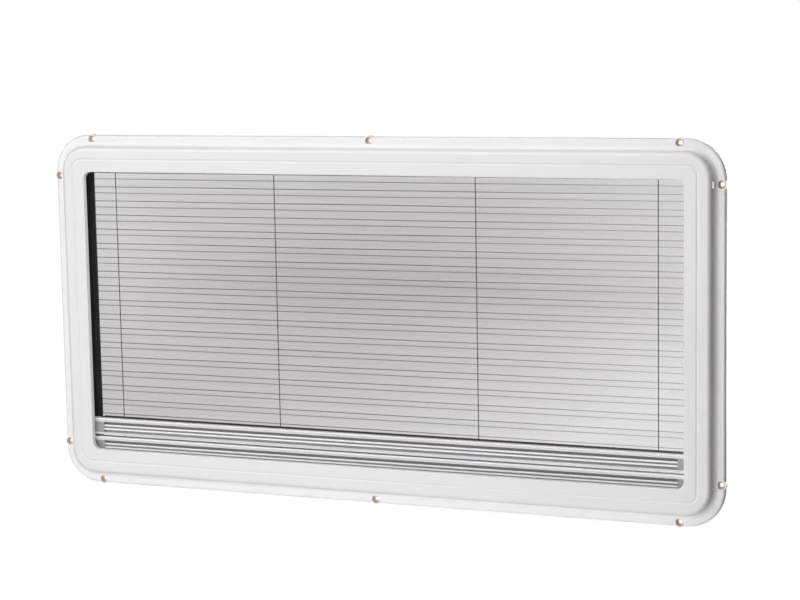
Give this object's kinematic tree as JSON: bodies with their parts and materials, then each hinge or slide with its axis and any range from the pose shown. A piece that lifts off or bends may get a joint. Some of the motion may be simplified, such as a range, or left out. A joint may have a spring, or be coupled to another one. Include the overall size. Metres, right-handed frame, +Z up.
{
  "type": "caravan window inner frame with insect screen and blind",
  "caption": "White moulded inner frame of a caravan window with a pleated insect screen on taut cords, a sliding aluminium pull bar and a parked blackout blind.",
  "frame": {"origin": "middle of the lower run of the flange's back face, which lies on the wall", "axes": "+X to the right seen from the room, +Y into the wall, +Z up"},
  "size_m": [0.9308, 0.046, 0.4808],
  "materials": {
    "frame_white": "satin moulded",
    "tray_white": "white coated",
    "rail_black": "matt extruded",
    "corner_grey": "moulded",
    "strip_black": "matt extruded",
    "screen_net": "fine woven net",
    "cord_dark": "braided",
    "bar_aluminium": "satin anodised",
    "cap_grey": "moulded",
    "blackout_cloth": "coated cloth"
  },
  "bodies": {
    "window_frame": {"front_frame": "frame_white", "head_tray": "tray_white", "sill_tray": "tray_white", "left_side_tray": "tray_white", "right_side_tray": "tray_white", "left_guide_rail": "rail_black", "right_guide_rail": "rail_black", "upper_left_corner": "corner_grey", "upper_right_corner": "corner_grey", "lower_left_corner": "corner_grey", "lower_right_corner": "corner_grey", "screen_head_strip": "strip_black", "pleated_screen": "screen_net", "tension_cord_1": "cord_dark", "tension_cord_2": "cord_dark", "tension_cord_3": "cord_dark", "tension_cord_4": "cord_dark", "blind_bar": "bar_aluminium", "blind_bar_left_cap": "cap_grey", "blind_bar_right_cap": "cap_grey", "blind_hem_strip": "strip_black", "blackout_cloth_pack": "blackout_cloth", "blind_base_strip": "strip_black"},
    "screen_pull": {"screen_bar": "bar_aluminium", "screen_bar_left_cap": "cap_grey", "screen_bar_right_cap": "cap_grey", "screen_hem_strip": "strip_black"}
  },
  "joints": [
    {"name": "screen_slide", "type": "slide", "parent": "window_frame", "child": "screen_pull", "axis": [0, 0, 1], "range_m": [0, 0.343], "deforming": ["pleated_screen"]}
  ]
}
